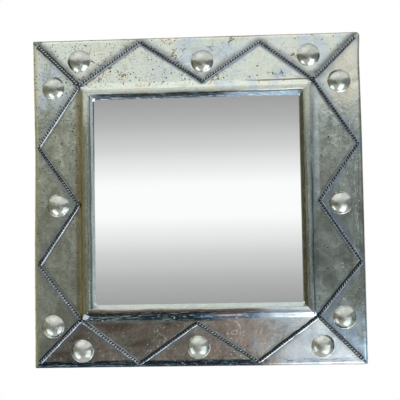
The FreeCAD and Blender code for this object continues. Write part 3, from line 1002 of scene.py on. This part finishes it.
def dome_tin():
    """Brighter tin on the domes, with soft wear, a painted dark reflection band below the middle, and foot
    solder painted light on its lit side and dark on the other.
    """
    g = Graph("dome_tin")
    foot = g.layer("foot")
    middle = g.noise(6.0, 4.0, 0.6, 0.4)
    fine = g.noise(1.1, 5.0, 0.6)
    lit, pitting = g.layer("lit"), g.layer("pitting")
    painted_horizon_shade = g.layer("painted_horizon_shade")
    colour = g.mix(tone(196, 200, 193), tone(172, 176, 164), g.ramp(middle, 0.45, 0.75))
    colour = g.lay(colour, tone(70, 66, 58), g.ramp(fine, 0.66, 0.78), g.times(pitting, 0.4))
    # A painted dark reflection band below the dome's middle.
    colour = g.lay(colour, tone(124, 125, 116), painted_horizon_shade, 0.55)
    pits = g.maths("MAXIMUM", g.specks(3.0, 0.3, g.times(pitting, 0.45), (0.2, 0.7, 0.4)),
                   g.specks(1.6, 0.3, g.times(pitting, 0.3), (0.5, 0.1, 0.6)))
    colour = g.lay(colour, tone(84, 84, 72), pits, 0.8)
    # Foot solder painted light on its lit side and dark on the other.
    solder = g.mix(tone(96, 98, 96), tone(214, 224, 230), g.ramp(lit, 0.45, 0.85))
    colour = g.lay(colour, solder, foot, 0.85)
    gloss = g.plus(g.ramp(middle, 0.4, 0.8, 0.16, 0.22), g.times(g.layer("crown"), 0.26))
    relief = g.bump(fine, 0.006, g.bump(middle, 0.02))
    g.set(Base_Color=colour, Metallic=1.0, Roughness=gloss, Normal=relief)
    return g.material


def wire_metal():
    """Blackened wire whose crowns are worn in small bright spots, its strands painted lighter on the lit side
    of each run.
    """
    g = Graph("wire_metal")
    crown = g.layer("crown")
    fine = g.noise(0.9, 4.0, 0.6)
    zone = g.noise(14.0, 3.0, 0.6)
    lit = g.layer("lit")
    share = g.layer("worn")
    worn = g.ramp(g.plus(crown, g.times(fine, 0.2)), 0.97, 1.06)
    worn = g.times(worn, g.ramp(g.plus(zone, g.times(share, 0.5)), 0.5, 0.95, 0.2, 1.0))
    # Each run's wear lightens the whole wire: partly wear, partly painted light.
    dark = g.mix(tone(18, 22, 25), tone(70, 72, 74), share)
    # Below the crowns, the side of each strand painted as lit is lighter: painted light.
    colour = g.lay(dark, tone(120, 132, 148), g.ramp(lit, 0.5, 1.0), g.ramp(crown, 0.9, 0.6))
    colour = g.mix(colour, tone(206, 206, 194), worn)
    gloss = g.blend(0.4, 0.3, worn)
    g.set(Base_Color=colour, Metallic=0.8, Roughness=gloss, Normal=g.bump(fine, 0.04))
    return g.material


def solder_metal():
    """Smooth lumpy solder with a blue-grey film, painted from dark shade to bright highlight by how lit it is
    meant to look.
    """
    g = Graph("solder_metal")
    lumps = g.noise(2.2, 4.0, 0.6, 0.5)
    zone = g.noise(16.0, 3.0, 0.5)
    lit = g.layer("lit")
    light = g.mix(tone(184, 196, 210), tone(236, 242, 246), g.ramp(g.plus(lumps, zone), 0.85, 1.15))
    even = g.mix(tone(118, 128, 138), tone(150, 160, 170), g.ramp(lumps, 0.4, 0.7))
    # Painted shade and highlight from how lit each part is meant to look.
    colour = g.mix(tone(38, 42, 44), even, g.ramp(lit, 0.1, 0.5))
    colour = g.mix(colour, light, g.ramp(lit, 0.6, 0.95))
    gloss = g.blend(0.12, 0.32, lumps)
    g.set(Base_Color=colour, Metallic=1.0, Roughness=gloss, Normal=g.bump(lumps, 0.12))
    return g.material


def mirror_glass():
    """Silvered glass, almost clean."""
    g = Graph("mirror_glass")
    smudge = g.noise(35.0, 4.0, 0.6, 0.5)
    g.set(Base_Color=tone(250, 251, 251), Metallic=1.0, Roughness=g.ramp(smudge, 0.4, 0.9, 0.0, 0.03))
    return g.material


STRAP_STAIN = (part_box("hanger_strap")[0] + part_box("hanger_strap")[1]) / 2


def plain_tin_back(name, light, dark, stained):
    """Dull drawn tin of the back in two tones, stained by that share where the strap was soldered."""
    g = Graph(name)
    broad = g.noise(55.0, 3.0, 0.5, 0.2)
    stain = g.noise(9.0, 6.0, 0.7, 0.3, g.moved((0.3, 0.6, 0.2)))
    fine = g.noise(2.2, 5.0, 0.6)
    drawn = g.noise(1.2, 5.0, 0.65, 0.1, g.moved((0.4, 0.2, 0.7), (0.05, 1.0, 1.0)))
    rust = g.noise(11.0, 5.0, 0.65, 0.8, g.moved((0.5, 0.2, 0.3)))
    rust = g.ramp(g.plus(rust, g.times(fine, 0.3)), 0.74, 0.88)
    colour = g.mix(light, dark, g.ramp(broad, 0.35, 0.65))
    colour = g.lay(colour, tone(128, 128, 118), g.ramp(stain, 0.5, 0.66), 0.55)
    reach = g.node("ShaderNodeVectorMath", operation="DISTANCE")
    g.put(reach.inputs[0], g.warped(9.0, 8.0))
    g.put(reach.inputs[1], STRAP_STAIN)
    burnt = g.ramp(reach.outputs["Value"], 0.021, 0.009)
    colour = g.lay(colour, tone(84, 76, 62), burnt, stained)
    colour = g.lay(colour, tone(204, 206, 200), g.ramp(drawn, 0.56, 0.7), 0.5)
    colour = g.lay(colour, tone(112, 76, 48), rust, 0.7)
    gloss = g.ramp(stain, 0.35, 0.7, 0.34, 0.52)
    relief = g.bump(drawn, 0.015, g.bump(fine, 0.02, g.bump(broad, 0.4)))
    g.set(Base_Color=colour, Metallic=g.blend(1.0, 0.3, rust), Roughness=gloss, Normal=relief)
    return g.material


def board_brown():
    """Raw brown board."""
    g = Graph("board_brown")
    fibre = g.noise(1.5, 6.0, 0.7, 0.0, g.moved((0, 0, 0), (0.3, 1.0, 1.0)))
    colour = g.mix(tone(150, 122, 86), tone(112, 86, 56), fibre)
    g.set(Base_Color=colour, Metallic=0.0, Roughness=0.9, Normal=g.bump(fibre, 0.08))
    return g.material


def ring_steel():
    """Dull steel wire with rust in places."""
    g = Graph("ring_steel")
    patch = g.noise(4.0, 5.0, 0.6, 0.4)
    colour = g.mix(tone(168, 165, 156), tone(110, 78, 52), g.ramp(patch, 0.5, 0.7))
    gloss = g.ramp(patch, 0.3, 0.7, 0.3, 0.6)
    g.set(Base_Color=colour, Metallic=0.9, Roughness=gloss, Normal=g.bump(patch, 0.08))
    return g.material


def dress(piece, material):
    """Gives a piece one material in every slot."""
    piece.data.materials.clear()
    piece.data.materials.append(material)


# A band is from, to, softness, two colours, strength, whether the clean metal with its painted reflection
# shows it too, start and end. Most bands are painted reflections, highlights and shade along the moulding,
# fold and rim, with some tarnish.
# Each side's tones stand partly for the reflection that side shows, painted into its colour.
TIN_LOOKS = {
    "top": dict(
        clean=tone(226, 238, 244), clean_shade=tone(190, 208, 220),
        main=tone(214, 222, 212), second=tone(222, 219, 200), third=tone(176, 180, 168),
        light=tone(232, 236, 230),
        halo=tone(140, 150, 156), halo_dark=tone(84, 90, 92), halo_share=0.88, halo_reach=6.0,
        lee=tone(134, 148, 164), drops=0.0, cracks=1.0, curls=[(-8.0, 122.0, 9.0)],
        sweep=(0.0, tone(232, 230, 214), tone(176, 180, 168)),
        bands=[
            (100.6, 102.4, 0.8, (150, 142, 124), (186, 182, 166), 0.8, True, -80, 46),
            (90.0, 98.4, 0.5, (64, 90, 112), (242, 250, 254), 0.95, True, -112, 38),
            (98.2, 101.3, 0.6, (12, 24, 34), (96, 126, 144), 0.97, True, -100, 38),
            (90.0, 100.4, 0.5, (150, 176, 198), (254, 255, 255), 0.95, True, 30, 112),
            (100.2, 101.2, 0.35, (66, 74, 78), (100, 108, 110), 0.9, True, 24, 112),
            (110.2, 111.6, 0.4, (84, 90, 88), (130, 138, 132), 0.9, True, 52, 112),
            (153.6, 160.0, 0.6, (128, 118, 92), (160, 152, 124), 0.8, True, -200, 200),
        ]),
    "right": dict(
        clean=tone(196, 216, 228), clean_shade=tone(150, 174, 188),
        main=tone(190, 204, 198), second=tone(174, 184, 174), third=tone(132, 139, 130),
        light=tone(206, 216, 216),
        halo=tone(136, 156, 178), halo_dark=tone(96, 112, 132), halo_share=0.7, halo_reach=6.0,
        lee=tone(112, 122, 128), drops=0.06, cracks=0.3, curls=[],
        sweep=(0.5, tone(206, 216, 212), tone(112, 118, 110)),
        bands=[
            (97.5, 100.8, 0.4, (86, 84, 64), (150, 146, 122), 0.92, True, -200, 200),
            (90.0, 97.5, 0.3, (150, 160, 158), (110, 116, 108), 0.8, True, -200, 200),
            (101.4, 105.6, 0.6, (144, 154, 150), (104, 112, 110), 0.7, True, -200, 200),
            (106.4, 107.6, 0.4, (64, 78, 92), (110, 122, 132), 0.85, True, -30, 200),
            (100.8, 108.0, 0.8, (196, 200, 184), (232, 228, 212), 0.75, True, -200, -70),
            (108.6, 112.0, 1.0, (150, 148, 122), (180, 176, 150), 0.5, True, -120, -40),
            (108.8, 114.2, 1.0, (206, 218, 222), (184, 198, 204), 0.6, True, -200, 10),
            (143.5, 149.5, 1.0, (150, 160, 154), (220, 230, 226), 0.75, True, -75, 75),
            (149.8, 151.4, 0.5, (84, 98, 110), (140, 152, 158), 0.5, True, -45, 70),
            (128.0, 151.0, 5.0, (234, 226, 206), (216, 200, 184), 0.45, True, -150, -82),
            (153.4, 160.0, 0.5, (110, 94, 68), (136, 120, 94), 0.8, True, -200, 60),
        ]),
    "bottom": dict(
        clean=tone(232, 242, 248), clean_shade=tone(196, 214, 226),
        main=tone(180, 176, 164), second=tone(170, 148, 134), third=tone(118, 114, 98),
        light=tone(198, 204, 198),
        halo=tone(148, 164, 172), halo_dark=tone(104, 120, 138), halo_share=0.55, halo_reach=5.0,
        lee=tone(150, 154, 152), drops=0.22, cracks=0.0, curls=[(-32.0, 121.0, 11.0), (38.0, 125.0, 10.0)],
        sweep=(0.7, tone(196, 178, 166), tone(96, 86, 74)),
        bands=[
            (90.0, 101.2, 0.4, (174, 188, 182), (208, 210, 196), 0.9, True, -200, 200),
            (101.4, 104.4, 0.5, (84, 70, 64), (130, 108, 98), 0.85, True, -95, 110),
            (104.0, 112.4, 1.1, (20, 40, 54), (150, 170, 164), 0.95, False, -20, 120),
            (104.6, 110.6, 0.9, (62, 88, 118), (170, 190, 204), 0.85, True, -72, -4),
            (107.0, 108.5, 0.4, (250, 222, 180), (214, 176, 128), 1.0, True, -34, -20),
            (111.4, 113.8, 0.8, (140, 150, 142), (186, 194, 186), 0.7, False, 20, 110),
            (101.4, 112.4, 1.0, (200, 213, 222), (160, 180, 198), 0.8, True, -125, -62),
            (102.4, 111.0, 1.6, (234, 245, 248), (196, 212, 222), 0.85, True, -125, -92),
            (110.0, 124.0, 4.0, (240, 249, 252), (208, 222, 232), 0.6, True, -135, -84),
            (148.6, 160.0, 0.9, (24, 44, 62), (128, 152, 160), 0.95, False, -60, 160),
            (148.2, 152.2, 1.0, (222, 232, 240), (112, 142, 182), 0.75, True, -150, -72),
        ]),
    "left": dict(
        clean=tone(226, 238, 244), clean_shade=tone(190, 208, 220),
        main=tone(210, 217, 198), second=tone(190, 197, 176), third=tone(148, 152, 132),
        light=tone(216, 223, 209),
        halo=tone(146, 160, 172), halo_dark=tone(112, 124, 140), halo_share=0.65, halo_reach=5.5,
        lee=tone(136, 140, 130), drops=0.06, cracks=0.3, curls=[],
        sweep=(0.35, tone(212, 216, 200), tone(128, 130, 110)),
        bands=[
            (90.0, 99.6, 0.4, (248, 254, 254), (216, 228, 228), 0.95, True, -200, 200),
            (90.0, 97.5, 0.3, (20, 24, 26), (90, 96, 96), 0.9, True, 30, 110),
            (100.0, 102.6, 0.5, (150, 164, 164), (190, 202, 200), 0.7, True, -200, 200),
            (99.8, 100.5, 0.3, (104, 112, 108), (150, 156, 148), 0.75, True, -200, 200),
            (102.4, 106.0, 0.6, (118, 120, 100), (148, 151, 130), 0.75, True, -200, 76),
            (100.6, 106.4, 0.6, (206, 212, 196), (232, 234, 222), 0.8, True, 76, 200),
            (106.2, 114.0, 1.5, (142, 134, 104), (172, 166, 136), 0.85, True, -200, 200),
            (107.6, 108.6, 0.5, (104, 94, 66), (150, 142, 108), 0.7, True, -120, 20),
            (151.0, 160.0, 0.8, (206, 206, 170), (182, 178, 140), 0.75, True, -200, 200),
        ]),
}

for quarters, side in enumerate(SIDES):
    dress(frame_side(quarters, side), tin(side))

WIRE = wire_metal()
SOLDER = solder_metal()
for name, node, route, looks in ROUTES:
    dress(twisted_wire(name, node, route, looks), WIRE)
    dress(solder_bed(name.replace("twist", "solder"), route, looks), SOLDER)
LUMPS = corner_lumps() + back_lumps()
SEAMS = [seam("mitre_seam_" + corner, quarters) for quarters, corner in enumerate(CORNERS)]
for piece in LUMPS + SEAMS:
    dress(piece, SOLDER)

DOME = dome_tin()
for stud in domes():
    dress(stud, DOME)

PLATE_TIN = plain_tin_back("plate_tin", tone(186, 187, 178), tone(158, 158, 148), 0.75)
STRIP_TIN = plain_tin_back("strip_tin", tone(206, 208, 200), tone(176, 178, 168), 0.0)
dress(frame["nodes"]["back_plate"], PLATE_TIN)
for node in ["hanger_strap"] + ["glazing_strip_" + side for side in SIDES]:
    dress(frame["nodes"][node], STRIP_TIN)
dress(frame["nodes"]["mirror_pane"], mirror_glass())
dress(frame["nodes"]["backing_board"], board_brown())
dress(frame["nodes"]["hanger_ring"], ring_steel())


# Studio


def emitter(name, colour):
    """A paint that shows its own colour in any light."""
    material = bpy.data.materials.new(name)
    material.use_nodes = True
    nodes = material.node_tree.nodes
    nodes.clear()
    glow = nodes.new("ShaderNodeEmission")
    out = nodes.new("ShaderNodeOutputMaterial")
    glow.inputs["Color"].default_value = colour
    material.node_tree.links.new(glow.outputs[0], out.inputs[0])
    return material


def panel(name, corners, material):
    """A flat stage panel."""
    mesh = bpy.data.meshes.new(name)
    mesh.from_pydata([Vector(c) for c in corners], [], [(0, 1, 2, 3)])
    mesh.materials.append(material)
    made = bpy.data.objects.new(name, mesh)
    bpy.context.scene.collection.objects.link(made)
    return made


FLOOR_HEIGHT = -1.0
WALL_REACH = 2.2
WALL_SPAN = 2.2
WALL_TOP = 1.6
SIDE_WALL_BACK = 0.6
SIDE_WALL_TOP = 1.0
SIDE_WALL_TONES = [("left_wall", -WALL_SPAN, (168, 166, 146)), ("right_wall", WALL_SPAN, (160, 166, 168))]
FLOOR_HALF = 3.0
BAND_HEIGHT = 0.145
BAND_HALF = 0.312
BAND_LEFT = -0.52
BAND_RIGHT = 0.24
BAND_SOFT = 0.2
BAND_STOPS = [(0.0, 1.06), (0.115, 0.93), (0.23, 0.71), (0.346, 0.52), (0.5, 0.355), (0.62, 0.30)]
WALL_STOPS = [
    (-1.0, 0.22), (-0.6, 0.27), (0.0, 0.27), (0.3, 0.37),
    (0.48, 0.62), (0.65, 0.82), (0.9, 0.94), (1.6, 0.92),
]
GLOWS = [(0.62, -0.8, 0.45, 1.3), (0.74, 0.62, 0.24, 0.5)]


def stops_of_grey(g, value, stops):
    """A smooth curve of greys along a value from 0 to 1."""
    curve = g.node("ShaderNodeValToRGB")
    g.put(curve.inputs["Fac"], value)
    ramp = curve.color_ramp
    ramp.interpolation = "CARDINAL"
    while len(ramp.elements) < len(stops):
        ramp.elements.new(0.5)
    for element, (place, grey) in zip(ramp.elements, stops):
        element.position = place
        element.color = (grey, grey, grey, 1)
    return curve.outputs["Color"]


def front_wall():
    """The wall behind the viewer, whose soft bright band the mirror shows."""
    g = Graph("front_wall_paint")
    g.tree.nodes.remove(g.shader)
    glow = g.node("ShaderNodeEmission")
    g.tree.links.new(glow.outputs[0], g.tree.nodes["Material Output"].inputs["Surface"])
    split = g.node("ShaderNodeSeparateXYZ")
    g.put(split.inputs[0], g.place)
    x, z = split.outputs["X"], split.outputs["Z"]
    from_band = g.maths("DIVIDE", g.maths("ABSOLUTE", g.minus(z, BAND_HEIGHT)), BAND_HALF)
    band = stops_of_grey(g, g.maths("DIVIDE", from_band, 2.0), BAND_STOPS)
    span = WALL_TOP - FLOOR_HEIGHT
    wall = stops_of_grey(g, g.maths("DIVIDE", g.minus(z, FLOOR_HEIGHT), span),
                         [((height - FLOOR_HEIGHT) / span, grey) for height, grey in WALL_STOPS])
    for glow_x, glow_z, reach, level in GLOWS:
        off_x = g.maths("DIVIDE", g.minus(x, glow_x), reach)
        off_z = g.maths("DIVIDE", g.minus(z, glow_z), reach)
        off = g.plus(g.times(off_x, off_x), g.times(off_z, off_z))
        shine = g.times(g.maths("POWER", math.e, g.times(off, -1.0)), level)
        wall = g.mix(wall, (1, 1, 1, 1), shine, "ADD")
    sides = g.ramp(x, BAND_LEFT - BAND_SOFT, BAND_LEFT)
    sides = g.times(sides, g.ramp(x, BAND_RIGHT + BAND_SOFT, BAND_RIGHT))
    inner = g.times(sides, g.ramp(from_band, 1.14, 1.02))
    g.put(glow.inputs["Color"], g.mix(wall, band, inner))
    y, s = -WALL_REACH, WALL_SPAN
    corners = [(-s, y, FLOOR_HEIGHT), (s, y, FLOOR_HEIGHT), (s, y, WALL_TOP), (-s, y, WALL_TOP)]
    panel("front_wall", corners, g.material).visible_camera = False


def side_walls():
    """Grey walls to the left and right of the studio."""
    front, back, low, high = -WALL_REACH, SIDE_WALL_BACK, FLOOR_HEIGHT, SIDE_WALL_TOP
    for name, x, colour in SIDE_WALL_TONES:
        corners = [(x, front, low), (x, back, low), (x, back, high), (x, front, high)]
        panel(name, corners, emitter(name + "_paint", tone(*colour))).visible_camera = False


def floor():
    """A plain pale floor, well below the hung mirror."""
    material = bpy.data.materials.new("floor_paint")
    material.use_nodes = True
    shader = material.node_tree.nodes["Principled BSDF"]
    shader.inputs["Base Color"].default_value = (0.78, 0.78, 0.76, 1)
    shader.inputs["Roughness"].default_value = 0.9
    s, z = FLOOR_HALF, FLOOR_HEIGHT
    panel("floor", [(-s, -s, z), (s, -s, z), (s, s, z), (-s, s, z)], material)


def lamp(name, place, size, power, colour):
    """A soft lamp of that width and height, aimed at the mirror."""
    data = bpy.data.lights.new(name, "AREA")
    data.shape = "RECTANGLE"
    data.size, data.size_y = size
    data.energy = power
    data.color = colour
    made = bpy.data.objects.new(name, data)
    made.location = place
    made.rotation_euler = (-Vector(place)).to_track_quat("-Z", "Y").to_euler()
    made.visible_camera = False
    bpy.context.scene.collection.objects.link(made)


def world():
    """Soft white surroundings. The camera, metal and glass see them as white."""
    made = bpy.data.worlds.new("studio")
    bpy.context.scene.world = made
    made.use_nodes = True
    nodes, links = made.node_tree.nodes, made.node_tree.links
    back = nodes["Background"]
    path = nodes.new("ShaderNodeLightPath")
    seen = path.outputs["Is Camera Ray"]
    for ray in ("Is Glossy Ray", "Is Transmission Ray"):
        either = nodes.new("ShaderNodeMath")
        either.operation = "MAXIMUM"
        links.new(seen, either.inputs[0])
        links.new(path.outputs[ray], either.inputs[1])
        seen = either.outputs[0]
    level = nodes.new("ShaderNodeMapRange")
    links.new(seen, level.inputs["Value"])
    level.inputs["To Min"].default_value = 1.05
    level.inputs["To Max"].default_value = 1.0
    links.new(level.outputs["Result"], back.inputs["Strength"])
    back.inputs["Color"].default_value = (1, 1, 1, 1)


front_wall()
side_walls()
floor()
world()
lamp("key", (-0.7, -1.5, 2.2), (2.4, 2.4), 4.5, (1, 1, 1))
lamp("window_right", (0.37, -0.36, -0.44), (0.48, 0.7), 1.8, (0.84, 0.93, 1.0))
lamp("window_left", (-0.41, -0.22, -0.42), (0.28, 0.4), 0.6, (0.84, 0.93, 1.0))

# Camera, from the perspective of the frame's and the glass's corners in the photograph
CAMERA_PLACE = (0.06359, -1.01154, -0.06688)
CAMERA_TURN = (93.818, 0.976, 3.571)
CAMERA_LENS = 96.20

camera_data = bpy.data.cameras.new("camera")
camera_data.lens = CAMERA_LENS
camera_data.sensor_width = 36.0
camera = bpy.data.objects.new("camera", camera_data)
camera.location = CAMERA_PLACE
camera.rotation_euler = [math.radians(angle) for angle in CAMERA_TURN]
bpy.context.scene.collection.objects.link(camera)
bpy.context.scene.camera = camera
bpy.context.scene.view_settings.view_transform = "Standard"
